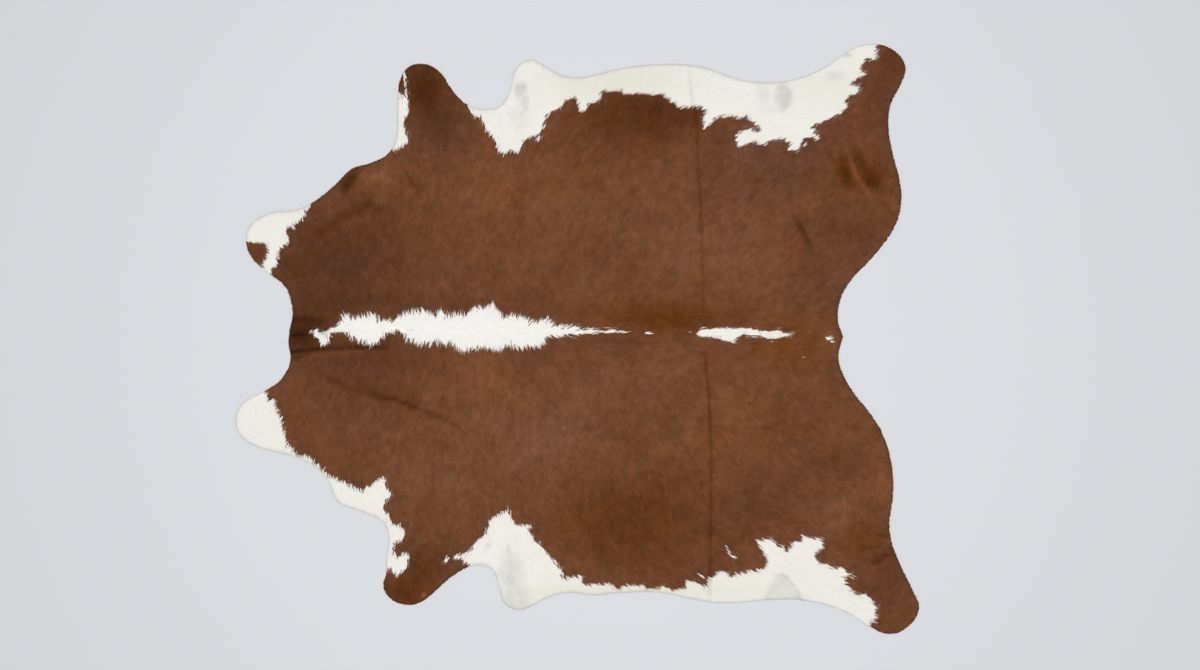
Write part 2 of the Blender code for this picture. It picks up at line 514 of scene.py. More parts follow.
class HairFlow:
    """The way the hair lies all over the hide, mirrored about the line of the back."""

    PARTING: ClassVar[float] = 0.014
    BLEND: ClassVar[float] = 0.0012
    BACK_X: ClassVar[tuple[float, ...]] = (-0.90, -0.78, -0.55, -0.20, 0.00, 0.20)
    BACK_Y: ClassVar[tuple[float, ...]] = (0.014, 0.030, 0.040, 0.030, 0.026, 0.012)

    def __init__(self, marks: Iterable[FlowMark]) -> None:
        """Take the right side's marks.

        Args:
            marks: The right side's marks.
        """
        rows = [(mark.x / MM, mark.y / MM, math.radians(mark.angle)) for mark in marks]
        table = np.array(rows)
        self.places = table[:, :2]
        self.ways = np.stack([np.cos(table[:, 2]), np.sin(table[:, 2])], axis=1)

    def back_line(self, x: np.ndarray) -> np.ndarray:
        """Y at each X of the line where the hair parts to both sides."""
        return np.interp(x, self.BACK_X, self.BACK_Y)

    def angles(self, places: Places) -> np.ndarray:
        """Blend the marks by nearness; on the line of the back the hair points to the tail.

        Args:
            places: Where to read the flow.

        Returns:
            The hair's angle from +X at each place, in radians.
        """
        from_back = places[:, 1] - self.back_line(places[:, 0])
        gap_x = places[:, None, 0] - self.places[None, :, 0]
        gap_y = np.abs(from_back)[:, None] - self.places[None, :, 1]
        weights = 1.0 / (gap_x ** 2 + gap_y ** 2 + self.BLEND) ** 2
        way = weights @ self.ways
        spread = np.arctan2(way[:, 1], way[:, 0])
        return spread * np.tanh(from_back / self.PARTING)


class MarkColour(Enum):
    """The two colours of the coat."""

    WHITE = 1.0
    BROWN = 0.0


@dataclass(frozen=True)
class Mark:
    """One area of the coat's pattern and its outline in millimetres.

    Where a mark runs off the hide, its last corners lie outside the cut edge.
    """

    name: str
    colour: MarkColour
    outline: tuple[Point, ...]


RIGHT_BELLY = Mark("white of the right belly", MarkColour.WHITE, (
    # behind the foreleg
    (-356, 760), (-334, 720), (-312, 713), (-291, 673), (-262, 640), (-248, 602),
    # brisket
    (-231, 599), (-220, 612), (-203, 602), (-180, 608), (-177, 634), (-158, 651), (-136, 655),
    # rise to the navel
    (-119, 670), (-98, 718), (-81, 741), (-51, 747), (-33, 776), (-8, 781), (4, 779), (0, 758),
    (10, 733), (29, 739), (34, 756), (87, 780), (74, 793), (96, 806),
    # belly
    (139, 800), (167, 790), (199, 796), (238, 787), (272, 793), (304, 769), (330, 745), (371, 752),
    (399, 751),
    # step behind the fold
    (414, 735), (408, 707), (414, 677), (449, 712), (468, 724), (475, 710), (491, 723), (527, 709),
    (543, 721), (581, 692), (593, 678),
    # hook of the flank
    (586, 664), (562, 678), (539, 676), (520, 664), (514, 640), (522, 617), (543, 631), (579, 638),
    (588, 624),
    # flank
    (624, 643), (671, 650), (688, 628), (685, 607), (712, 610), (735, 652), (754, 656), (771, 643),
    (785, 652),
    # thigh
    (768, 664), (761, 690), (804, 706), (827, 718), (870, 747), (870, 770), (884, 789), (908, 796),
    (910, 813),
    # hind leg
    (879, 822), (905, 844), (931, 852), (910, 874), (931, 905), (974, 905), (960, 927), (975, 960),
    # off the hide
    (970, 1010), (-370, 1010),
))

LEFT_BELLY = Mark("white of the left belly", MarkColour.WHITE, (
    # armpit
    (-345, -750), (-353, -724), (-371, -716), (-391, -706), (-403, -711), (-400, -699), (-361, -694),
    (-346, -684),
    # front of the brisket
    (-321, -647), (-302, -640), (-282, -605), (-279, -586), (-264, -573), (-242, -564), (-225, -547),
    # back of the brisket
    (-208, -585), (-198, -604), (-173, -602), (-143, -606), (-156, -615), (-136, -652), (-101, -684),
    (-86, -706), (-47, -748), (-49, -766), (-32, -776), (-10, -769), (5, -775), (0, -763), (17, -766),
    (15, -785),
    # belly
    (30, -799), (50, -793), (90, -795), (104, -789), (123, -803), (137, -808), (152, -800), (199, -797),
    (227, -807), (270, -806), (275, -795), (294, -812), (317, -813), (350, -800), (346, -786),
    (362, -781), (381, -783), (412, -801), (421, -793), (419, -776), (447, -767), (452, -755),
    # flank
    (478, -749), (495, -769), (516, -764), (530, -752), (540, -762), (551, -745), (577, -750),
    (611, -738), (615, -724), (603, -693), (592, -665), (580, -641), (598, -656), (608, -641),
    (637, -653), (653, -674), (665, -668), (677, -688), (689, -674), (698, -656), (722, -654),
    (730, -632), (758, -647), (784, -643), (795, -656), (795, -676), (764, -690), (770, -711),
    (784, -726),
    # thigh
    (815, -732), (830, -742), (850, -735), (881, -757), (916, -778), (877, -762), (859, -764),
    (870, -777), (867, -792), (897, -819), (916, -830), (932, -823),
    # hind leg
    (970, -870), (958, -883), (965, -896), (956, -905), (972, -914), (943, -911), (950, -940),
    # off the hide
    (940, -1010), (-370, -1010),
))

LEFT_NECK_AND_FORELEG = Mark("white of the left cheek, neck and foreleg", MarkColour.WHITE, (
    # cheek
    (-1012, -155), (-1000, -190), (-978, -205), (-969, -233), (-954, -263), (-946, -298), (-937, -345),
    # neck
    (-920, -354), (-901, -379), (-869, -377), (-855, -394), (-830, -411), (-808, -441), (-757, -463),
    (-714, -484), (-686, -493),
    # shoulder
    (-666, -473), (-636, -448), (-621, -454), (-618, -481), (-595, -508), (-616, -518), (-626, -550),
    (-611, -566),
    # foreleg
    (-601, -590), (-586, -605), (-569, -605), (-553, -625), (-564, -649), (-586, -652), (-596, -684),
    (-579, -709), (-566, -697), (-541, -694), (-551, -734), (-576, -766), (-596, -753), (-603, -738),
    (-612, -752),
    # off the hide
    (-700, -770), (-1180, -500), (-1180, -150),
))

RIGHT_CHEEK = Mark("white of the right cheek", MarkColour.WHITE, (
    (-852, 446), (-877, 410), (-880, 397), (-901, 378), (-935, 354), (-940, 337), (-929, 315),
    (-950, 300), (-963, 285), (-972, 238), (-987, 225), (-990, 200),
    # off the hide
    (-1150, 140), (-1150, 500), (-860, 500),
))

CHEEK_TIP = Mark("brown tip of the right cheek", MarkColour.BROWN, (
    (-1080, 318), (-1045, 313), (-1023, 313), (-1002, 305), (-998, 290), (-1002, 268), (-1015, 247),
    (-1030, 215), (-1110, 215),
))

RIGHT_FORELEG = Mark("white of the right foreleg", MarkColour.WHITE, (
    (-556, 880), (-551, 822), (-551, 792), (-540, 767), (-549, 756), (-546, 737), (-562, 694),
    (-549, 651), (-545, 637), (-575, 614), (-600, 610),
    # off the hide
    (-680, 650), (-680, 880),
))

FORELEG_SPOT = Mark("brown spot on the right foreleg", MarkColour.BROWN, (
    (-568, 858), (-590, 820), (-576, 795), (-559, 778), (-554, 800), (-560, 846),
))


class SpineStation(NamedTuple):
    """Where a white mark on the spine ends to the right and to the left, in millimetres."""

    x: float
    right: float
    left: float


FRONT_STATIONS = tuple(SpineStation(*row) for row in (
    (-858, 30, 26.5), (-840, 31, 12), (-832, 26, -12), (-820, 22, -23), (-801, 27, -10), (-793, 31, 15),
    (-772, 49, 19.5), (-751, 80, 18), (-722, 71, -3), (-692, 75, -14), (-660, 81, -22.5),
    (-636, 67, -8), (-612, 66, 20), (-580, 68, 25.5), (-556, 86, -1), (-520, 92, -18), (-502, 96, -20),
    (-474, 84, -20), (-456, 75, -3), (-444, 90, -18), (-410, 80, -20), (-386, 84, -29), (-372, 88, -43),
    (-352, 84, -42), (-338, 101, -33), (-306, 102, -30), (-284, 108, -32), (-273, 123, -37),
    (-258, 93, -40), (-240, 74, -32), (-218, 79, -21), (-192, 76, -36), (-164, 72, -33),
    (-144, 59, -25), (-113, 62, -23), (-99, 74, 0), (-86, 56, 7), (-50, 42, 4), (-36, 41, 15),
    (-8, 46, 12), (10, 30, 14.5), (41, 36, 16), (80, 26.5, 22.5), (119, 31.5, 20.5), (134, 25.5, 20.5),
    (176, 24, 22.5),
))

REAR_STATIONS = tuple(SpineStation(*row) for row in (
    (384, 19.5, 17.5), (398, 30, 11), (450, 32.5, 1), (470, 34.5, -6), (487, 33.5, -6),
    (504, 32.5, -16), (513, 31.5, 6), (534, 36.5, 15), (560, 33.5, 12), (597, 26.5, 9.5),
    (611, 25.5, 0.5), (641, 30.5, -1.5), (660, 22, 4), (670, 16.5, 11.5), (694, 14.2, 12.5),
))


def spine_mark(name: str, stations: tuple[SpineStation, ...]) -> Mark:
    """Join a spine mark's stations into one closed outline.

    Args:
        name: What the mark is.
        stations: The stations from the neck towards the tail.

    Returns:
        The white mark.
    """
    right = [(station.x, station.right) for station in stations]
    left = [(station.x, station.left) for station in reversed(stations)]
    return Mark(name, MarkColour.WHITE, tuple(right + left))


class Fleck(NamedTuple):
    """A few white hairs among the brown, in millimetres and degrees from +X."""

    name: str
    x: float
    y: float
    length: float
    width: float
    angle: float


FLECKS = tuple(Fleck(*row) for row in (
    ("between the spine marks", 232.5, 20, 22, 7, 0),
    ("before the rear mark", 366, 22.5, 6, 3.6, 0),
    ("by the tail", 812, 3, 24, 7, -2),
    ("under the tail", 823, -8.5, 14, 4, 4),
    ("left of the tail", 731, -60, 13, 5, -40),
    ("inside the left foreleg", -423, -714, 16, 10, 50),
    ("streak on the left flank", 491, -688, 42, 5.5, -62),
    ("foot of the flank streak", 504, -702, 16, 9.5, -10),
    ("above the left belly", 401, -764, 26, 4.5, -34),
    ("on the right brisket", -126, 648, 14, 8, 60),
    ("on the right flank", 737, 626, 16, 9, 70),
))

TONE_ZONES = zones(
    ("right neck", -780, 250, 250, 150, -0.2, -0.15),
    ("right crest", -700, 115, 260, 35, -0.1, -0.1),
    ("poll", -895, 18, 95, 67, -0.39, 0.75),
    ("left crest", -700, -80, 250, 50, -0.12, -0.1),
    ("crest below the mark", -700, -18, 160, 30, -0.08, 0.2),
    ("left neck", -750, -260, 140, 120, -0.05, -0.25),
    ("right shoulder point", -640, 520, 60, 35, 0.13),
    ("right foreleg end", -500, 810, 90, 100, -0.39, 0.8),
    ("right upper arm", -440, 660, 80, 80, -0.13, -0.3),
    ("right ribs", -200, 420, 160, 180, 0.05, 0.1),
    ("right withers", -400, 220, 120, 90, 0.02, -0.25),
    ("right loin", 300, 330, 200, 120, 0.03, -0.2),
    ("right croup", 520, 270, 150, 140, 0.05, -0.1),
    ("right rump", 800, 180, 120, 120, -0.03, -0.3),
    ("right belly", 200, 730, 200, 90, -0.29, 0.5),
    ("right flank", 620, 530, 180, 120, -0.04, -0.5),
    ("right thigh", 910, 330, 70, 60, -0.12, -0.1),
    ("hollow of the right thigh", 810, 385, 35, 45, -0.07),
    ("right hind leg", 980, 750, 80, 140, -0.06, -0.2),
    ("right hind leg end", 1020, 900, 60, 60, -0.16, 0.1),
    ("whorl", 910, 540, 75, 60, -0.05, 0.45),
    ("front of the whorl", 862, 530, 26, 42, -0.15, 1),
    ("rear of the whorl", 956, 510, 45, 40, -0.14, 0.9),
    ("spot on the right upper arm", -509, 613, 9, 6, -0.22, 0.2),
    ("streak on the right upper arm", -425, 645, 13, 36, -0.1, 0.1),
    ("rust patch of the right flank", 575, 510, 20, 14, -0.06, 0.6),
    ("spine of the loin", 280, 70, 200, 45, -0.17, 1.1),
    ("spine of the croup", 680, 0, 120, 70, -0.05, 0.9),
    ("left of the spine", 120, -10, 100, 30, -0.08, -0.2),
    ("left withers", -300, -160, 120, 110, 0.08, 0.1),
    ("left ribs", -100, -320, 160, 100, 0.13, -0.55),
    ("left loin", 150, -140, 200, 100, 0.07, -0.2),
    ("behind the fold", 490, -270, 90, 100, 0.08, 0.4),
    ("left belly", 180, -600, 240, 140, -0.17, 0.55),
    ("left flank", 620, -520, 150, 80, -0.09, -0.2),
    ("left thigh", 840, -410, 120, 50, -0.08),
    ("left buttock", 985, -450, 30, 70, 0.1, 0.3),
    ("left stifle", 870, -530, 60, 50, 0.07),
    ("left inner thigh", 920, -650, 55, 55, -0.15, 0.55),
    ("light patch above the left flank", 830, -590, 35, 35, 0.08, -0.3),
    ("left hind leg", 1010, -800, 80, 140, -0.11, -0.1),
    ("left foreleg", -500, -760, 110, 80, -0.18, 0.3),
    ("left foreleg tip", -560, -830, 75, 50, -0.2, 0.7),
    ("golden spot of the left foreleg", -495, -825, 7, 5, 0.55, -0.2),
    ("left shoulder", -480, -420, 130, 120, 0.05, -0.15),
    ("left elbow", -400, -660, 80, 50, -0.05, 0.1),
)

CREAM_ZONES = zones(
    ("clear white of the spine", -420, 30, 500, 100, -0.5),
    ("right belly cream", 120, 840, 220, 80, 1.05),
    ("right thigh cream", 820, 820, 180, 80, 0.4),
    ("left belly cream", 100, -820, 300, 30, 1.05),
    ("left flank cream", 550, -800, 300, 60, 0.3),
    ("left cheek cream", -1020, -280, 80, 80, 0.1),
)

SKIN_ZONES = zones(
    ("blue skin of the right brisket", -183, 805, 22, 30, 0.6),
    ("lower blue skin of the right brisket", -168, 765, 14, 35, 0.5),
    ("pale skin of the right brisket", -185, 715, 34, 45, 0.16),
    ("dark dot of the right brisket", -176, 728, 10, 5, 0.6),
    ("blue skin of the right flank", 667, 782, 28, 45, 0.7),
    ("pale skin of the right flank", 600, 790, 22, 36, 0.26),
    ("pale skin below the right flank", 635, 740, 55, 14, 0.2),
    ("blue skin of the right hock", 872, 918, 16, 10, 0.6),
    ("pale skin of the right hock", 830, 850, 30, 16, 0.2),
    ("blue skin of the left brisket", -214, -778, 22, 26, 0.62),
    ("pale skin of the left brisket", -212, -760, 46, 75, 0.36),
    ("pale skin of the left brisket's end", -200, -845, 60, 50, 0.42),
    ("wisp of the left brisket", -220, -684, 7, 18, 0.55),
    ("wisp of the left armpit", -289, -669, 12, 10, 0.55),
    ("bare skin at the end of the spine mark", -815, 16, 12, 7, 0.8),
    ("bare skin in the spine mark", -535, 27, 12, 3, 0.7),
)


@dataclass(frozen=True)
class SkinPatch:
    """Bluish skin that shows through thin white hair, darkest along part of its edge.

    Both paths are in millimetres.
    """

    name: str
    outline: tuple[Point, ...]
    value: float
    edge: tuple[Point, ...]
    edge_value: float
    softness: float = 0.008
    edge_half_width: float = 0.009
    reach: float = 0.02

    def weights(self, places: Places) -> np.ndarray:
        """Weigh places against the patch.

        Args:
            places: Places to weigh.

        Returns:
            The share of bare skin at each place, from 0 to 1.
        """
        depth = depth_in_loop(places, metres(self.outline), self.reach)
        inside = np.clip(0.5 + depth / self.softness, 0.0, 1.0)
        distance = nearest_on_path(places, metres(self.edge), closed=False)[0]
        rim = np.exp(-(distance / self.edge_half_width) ** 2)
        return np.maximum(self.value, self.edge_value * rim) * inside


LEFT_FLANK_SKIN = SkinPatch(
    "blue skin of the left flank",
    ((596, -880), (606, -835), (624, -795), (641, -764), (662, -750), (676, -757), (698, -784),
     (722, -818), (742, -880)),
    0.36,
    ((645, -768), (664, -759), (690, -786), (713, -818), (724, -845)),
    0.62,
)


class Mottle(NamedTuple):
    """One layer of unevenness: how strong it is, the width of its swells, and its seed."""

    strength: float
    size: float
    seed: int


def mottled(places: Places, layers: tuple[Mottle, ...]) -> np.ndarray:
    """Add up the layers of unevenness at each place."""
    return sum(layer.strength * soft_noise(places, layer.size, layer.seed) for layer in layers)


class CoatSample(NamedTuple):
    """What the coat looks like at a set of places."""

    white: np.ndarray
    shade: np.ndarray
    warmth: np.ndarray
    skin: np.ndarray


class CoatPattern:
    """The coat's colours: white marks, zones of tone and mottling, with painted shade and painted light
    from the creases and a painted shadow along the cut edge.
    """

    TEETH: ClassVar[tuple[Mottle, ...]] = (Mottle(0.0028, 0.012, 11), Mottle(0.0028, 0.010, 13))
    EDGE_SOFTNESS: ClassVar[float] = 0.0015
    EDGE_REACH: ClassVar[float] = 0.01
    TONE_MOTTLE: ClassVar[tuple[Mottle, ...]] = (
        Mottle(0.034, 0.090, 21), Mottle(0.042, 0.036, 22), Mottle(0.054, 0.016, 23),
        Mottle(0.074, 0.008, 26),
    )
    WHITE_MOTTLE: ClassVar[float] = 0.07
    WHITE_CREASE: ClassVar[float] = 0.45
    RIM_SHADOW_WIDTH: ClassVar[float] = 0.0030
    BROWN_RIM_SHADOW: ClassVar[float] = 0.22
    WHITE_RIM_SHADOW: ClassVar[float] = 0.14
    DARKEST: ClassVar[float] = 0.15
    LIGHTEST: ClassVar[float] = 1.6
    GAMMA: ClassVar[float] = 2.2
    PLAIN_WARMTH: ClassVar[float] = -0.30
    PLAIN_CREAM: ClassVar[float] = -0.05
    DEPTH_WARMTH: ClassVar[float] = 0.75
    CREASE_WARMTH: ClassVar[float] = 1.5
    WARMTH_MOTTLE: ClassVar[tuple[Mottle, ...]] = (Mottle(0.14, 0.060, 24), Mottle(0.10, 0.022, 27))
    SKIN_STEEPNESS: ClassVar[float] = 2.6
    SKIN_BLOTCH: ClassVar[tuple[Mottle, ...]] = (Mottle(0.35, 0.014, 25),)

    def __init__(self, outline: Outline, relief: Relief) -> None:
        """Gather the marks in the order in which they cover each other.

        Args:
            outline: The hide's cut edge, along which a painted shadow darkens the coat.
            relief: The hide's relief, whose creases get painted shade in their troughs and painted
                light on their ridges.
        """
        self.outline = outline
        self.relief = relief
        self.marks = (
            RIGHT_BELLY, LEFT_BELLY, LEFT_NECK_AND_FORELEG, RIGHT_CHEEK, CHEEK_TIP,
            RIGHT_FORELEG, FORELEG_SPOT,
            spine_mark("white of the spine, front", FRONT_STATIONS),
            spine_mark("white of the spine, rear", REAR_STATIONS),
        )

    def ragged(self, places: Places) -> Places:
        """Shift places a little, so that boundaries break into small teeth."""
        return places + np.stack([mottled(places, (layer,)) for layer in self.TEETH], axis=1)

    def in_marks(self, places: Places) -> np.ndarray:
        """Read the marks.

        Args:
            places: Where to read them.

        Returns:
            The share of white at each place, from 0 to 1.
        """
        read = self.ragged(places)
        white = np.zeros(len(places))
        for mark in self.marks:
            depth = depth_in_loop(read, metres(mark.outline), self.EDGE_REACH)
            cover = np.clip(0.5 + depth / self.EDGE_SOFTNESS, 0.0, 1.0)
            white += (mark.colour.value - white) * cover
        return white

    def in_flecks(self, places: Places) -> np.ndarray:
        """Tell which places lie in a fleck of white hairs.

        Args:
            places: Places to test.

        Returns:
            1 for each place in a fleck, 0 elsewhere.
        """
        white = np.zeros(len(places))
        for fleck in FLECKS:
            turn = math.radians(fleck.angle)
            gap = places - metres((fleck.x, fleck.y))
            along = gap[:, 0] * math.cos(turn) + gap[:, 1] * math.sin(turn)
            across = gap[:, 1] * math.cos(turn) - gap[:, 0] * math.sin(turn)
            half_length, half_width = metres((fleck.length, fleck.width)) / 2.0
            reach = (along / half_length) ** 2 + (across / half_width) ** 2
            white = np.maximum(white, reach < 1.0)
        return white

    def sample(self, places: Places, white: np.ndarray) -> CoatSample:
        """Read the coat.

        Args:
            places: Where to read it.
            white: The share of white already settled for each place.

        Returns:
            Its whiteness, shade, warmth and bare skin at each place.
        """
        tone = np.zeros(len(places))
        warmth = np.zeros(len(places))
        for zone in TONE_ZONES:
            weight = zone_weights(zone, places)
            tone += zone.value * weight
            warmth += zone.warmth * weight
        mottle = mottled(places, self.TONE_MOTTLE)
        # Painted shade in the creases' troughs and painted light on their ridges, multiplied into the
        # coat's brightness.
        crease = np.zeros(len(places))
        for fold in CREASES:
            crease += fold.shade * self.relief.crease_weights(fold, places)
        # Painted shadow: the coat is darker within a few millimetres of the cut edge, where the hide's
        # thick edge meets the floor.
        depth = np.maximum(self.outline.depth(places, self.EDGE_REACH), 0.0)
        rim = np.exp(-(depth / self.RIM_SHADOW_WIDTH) ** 2)
        brown_tone = (1.0 + tone) * (1.0 + mottle) * (1.0 + crease) * (1.0 - self.BROWN_RIM_SHADOW * rim)
        white_tone = 1.0 + self.WHITE_MOTTLE * mottle + self.WHITE_CREASE * crease
        white_tone -= self.WHITE_RIM_SHADOW * rim
        display = brown_tone + (white_tone - brown_tone) * white
        cream = np.full(len(places), self.PLAIN_CREAM)
        for zone in CREAM_ZONES:
            cream += zone.value * zone_weights(zone, places)
        warmth += self.PLAIN_WARMTH + self.DEPTH_WARMTH * (1.0 - brown_tone)
        # The painted shade of the creases also turns the brown warmer.
        warmth -= self.CREASE_WARMTH * np.minimum(crease, 0.0)
        warmth += mottled(places, self.WARMTH_MOTTLE)
        read = self.ragged(places)
        skin = LEFT_FLANK_SKIN.weights(read)
        for zone in SKIN_ZONES:
            skin = np.maximum(skin, zone.value * zone_weights(zone, read, self.SKIN_STEEPNESS))
        blotch = 1.0 + mottled(places, self.SKIN_BLOTCH)
        return CoatSample(
            white=white,
            shade=np.clip(display, self.DARKEST, self.LIGHTEST) ** self.GAMMA,
            warmth=np.clip(0.5 + 0.5 * np.where(white > 0.5, cream, warmth), 0.0, 1.0),
            skin=np.clip(skin * blotch, 0.0, 1.0),
        )


def paint(mesh: bpy.types.Mesh, sample: CoatSample, along: np.ndarray) -> None:
    """Store a coat sample on a mesh's points for the cowhair finish to read.

    Args:
        mesh: The mesh to paint.
        sample: One reading for each point.
        along: How far along its hair each point lies, 0 at the root and 1 at the tip.
    """
    coat = np.stack([sample.white, sample.shade, sample.warmth, along], axis=1)
    layer = mesh.attributes.new(COAT_LAYER, "FLOAT_COLOR", "POINT")
    layer.data.foreach_set("color", coat.astype(np.float32).ravel())
    skin = mesh.attributes.new(SKIN_LAYER, "FLOAT", "POINT")
    skin.data.foreach_set("value", sample.skin.astype(np.float32))


def unwrap_from_above(mesh: bpy.types.Mesh) -> None:
    """Give a mesh one map that looks straight down and fills the unit square.

    Args:
        mesh: The mesh to unwrap.
    """
    flat = points_of(mesh)[:, :2].astype(np.float32)
    corners = np.empty(len(mesh.loops), np.int32)
    mesh.loops.foreach_get("vertex_index", corners)
    low = flat.min(0)
    span = flat.max(0) - low
    layer = mesh.uv_layers.new(name=BAKE_MAP)
    layer.uv.foreach_set("vector", ((flat - low) / span)[corners].ravel())


class NodeBench:
    """Adds and joins the nodes of one material."""

    def __init__(self, name: str) -> None:
        """Start a material with its Principled shader.

        Args:
            name: The material's name.
        """
        self.material = bpy.data.materials.new(name)
        self.material.use_nodes = True
        self.tree = self.material.node_tree
        self.shader = self.tree.nodes["Principled BSDF"]

    def node(
        self, kind: str, output: str | int, feeds: dict[str | int, Feed], **settings: str
    ) -> Socket:
        """Add a node and feed its inputs.

        Args:
            kind: The node's type, without its usual prefix.
            output: Which of its outputs is wanted.
            feeds: What goes into its inputs: outputs of other nodes, numbers or colours.
            settings: The node's own properties and their values.

        Returns:
            The output.
        """
        node = self.tree.nodes.new(f"ShaderNode{kind}")
        for key, value in settings.items():
            setattr(node, key, value)
        for key, value in feeds.items():
            self.feed(node.inputs[key], value)
        return node.outputs[output]

    def feed(self, socket: Socket, value: Feed) -> None:
        """Link an output to a socket, or set the socket to a number or a colour.

        Args:
            socket: The socket to feed.
            value: What goes into it.
        """
        if isinstance(value, bpy.types.NodeSocket):
            self.tree.links.new(value, socket)
        else:
            socket.default_value = (*value, 1.0) if isinstance(value, tuple) else value

    def dress(self, **feeds: Feed) -> bpy.types.Material:
        """Feed the shader.

        Args:
            feeds: What goes into each of its inputs, with underscores for spaces.

        Returns:
            The finished material.
        """
        for name, value in feeds.items():
            self.feed(self.shader.inputs[name.replace("_", " ")], value)
        return self.material

    def noise(self, scale: float, detail: float = 2.0) -> Socket:
        """Add a noise on Object coordinates, with so many swells to the metre."""
        place = self.node("TexCoord", "Object", {})
        return self.node("TexNoise", "Fac", {"Vector": place, "Scale": scale, "Detail": detail})

    def remap(self, value: Socket, low: float, high: float) -> Socket:
        """Stretch a value from 0..1 to low..high."""
        return self.node("MapRange", "Result", {"Value": value, "To Min": low, "To Max": high})

    def multiply(self, first: Socket, second: Socket) -> Socket:
        """Multiply two numbers."""
        return self.node("Math", "Value", {0: first, 1: second}, operation="MULTIPLY")

    def blend(self, share: Socket, first: Feed, second: Feed) -> Socket:
        """Mix two colours; a share of 0 shows the first."""
        return self.node("Mix", 2, {"Factor": share, 6: first, 7: second}, data_type="RGBA")

    def scale_colour(self, colour: Socket, amount: Socket) -> Socket:
        """Multiply a colour by a number."""
        feeds = {0: colour, "Scale": amount}
        return self.node("VectorMath", "Vector", feeds, operation="SCALE")


@dataclass(frozen=True)
class CowhairFinish:
    """Short glossy cow hair, chestnut and white, read from the coat's layers."""

    brown_cool: Colour = (0.1425, 0.0610, 0.0343)
    brown_warm: Colour = (0.183, 0.0525, 0.0060)
    white_clear: Colour = (0.812, 0.801, 0.786)
    white_cream: Colour = (0.703, 0.684, 0.594)
    skin_blue: Colour = (0.488, 0.497, 0.484)
    root_shade: float = 0.80
    white_evenness: float = 0.85
    hair_scale: float = 420.0
    hair_contrast: float = 0.06
    gloss_scale: float = 60.0
    gloss_contrast: float = 0.06
    roughness: float = 0.68
    sheen: float = 0.01
    sheen_roughness: float = 0.45
    specular: float = 0.05

    def material(self, name: str) -> bpy.types.Material:
        """Build the finish.

        Args:
            name: The material's name.

        Returns:
            The material.
        """
        bench = NodeBench(name)
        coat = bench.node("Attribute", "Color", {}, attribute_name=COAT_LAYER)
        along = bench.node("Attribute", "Alpha", {}, attribute_name=COAT_LAYER)
        skin = bench.node("Attribute", "Fac", {}, attribute_name=SKIN_LAYER)
        white, shade, warmth = (
            bench.node("SeparateColor", channel, {"Color": coat})
            for channel in ("Red", "Green", "Blue")
        )
        brown = bench.blend(warmth, self.brown_cool, self.brown_warm)
        pale = bench.blend(warmth, self.white_clear, self.white_cream)
        pale = bench.blend(skin, pale, self.skin_blue)
        colour = bench.blend(white, brown, pale)
        hairs = bench.noise(self.hair_scale, 3.0)
        grain = bench.remap(hairs, 1.0 - self.hair_contrast, 1.0 + self.hair_contrast)
        root = bench.remap(along, self.root_shade, 1.0)
        light = bench.multiply(bench.multiply(shade, grain), root)
        even = bench.remap(white, 0.0, self.white_evenness)
        steady = bench.node("Mix", 0, {"Factor": even, 2: light, 3: shade}, data_type="FLOAT")
        shine = bench.noise(self.gloss_scale)
        matt = self.roughness + self.gloss_contrast
        return bench.dress(
            Base_Color=bench.scale_colour(colour, steady),
            Roughness=bench.remap(shine, self.roughness - self.gloss_contrast, matt),
            Sheen_Weight=self.sheen,
            Sheen_Roughness=self.sheen_roughness,
            Specular_IOR_Level=self.specular,
        )


@dataclass(frozen=True)
class SuedeFinish:
    """The flesh side and the cut edge: pale undyed leather with a short nap."""

    pale: Colour = (0.62, 0.60, 0.55)
    dark: Colour = (0.50, 0.475, 0.425)
    cloud_scale: float = 7.0
    nap_scale: float = 900.0
    nap_dark: float = 0.93
    nap_light: float = 1.05
    fibre_scale: float = 1400.0
    fibre_strength: float = 0.5
    fibre_height: float = 0.0004
    roughness: float = 0.9
    specular: float = 0.15

    def material(self, name: str) -> bpy.types.Material:
        """Build the finish.

        Args:
            name: The material's name.

        Returns:
            The material.
        """
        bench = NodeBench(name)
        cloud = bench.noise(self.cloud_scale, 5.0)
        nap = bench.remap(bench.noise(self.nap_scale, 3.0), self.nap_dark, self.nap_light)
        colour = bench.scale_colour(bench.blend(cloud, self.dark, self.pale), nap)
        fibres = {
            "Height": bench.noise(self.fibre_scale, 3.0),
            "Strength": self.fibre_strength,
            "Distance": self.fibre_height,
        }
        return bench.dress(
            Base_Color=colour,
            Roughness=self.roughness,
            Specular_IOR_Level=self.specular,
            Normal=bench.node("Bump", "Normal", fibres),
        )


@dataclass(frozen=True)
class FloorFinish:
    """A plain pale floor."""

    colour: Colour = (0.603, 0.615, 0.638)
    roughness: float = 0.85
    specular: float = 0.1

    def material(self, name: str) -> bpy.types.Material:
        """Build the finish.

        Args:
            name: The material's name.

        Returns:
            The material.
        """
        return NodeBench(name).dress(
            Base_Color=self.colour, Roughness=self.roughness, Specular_IOR_Level=self.specular
        )


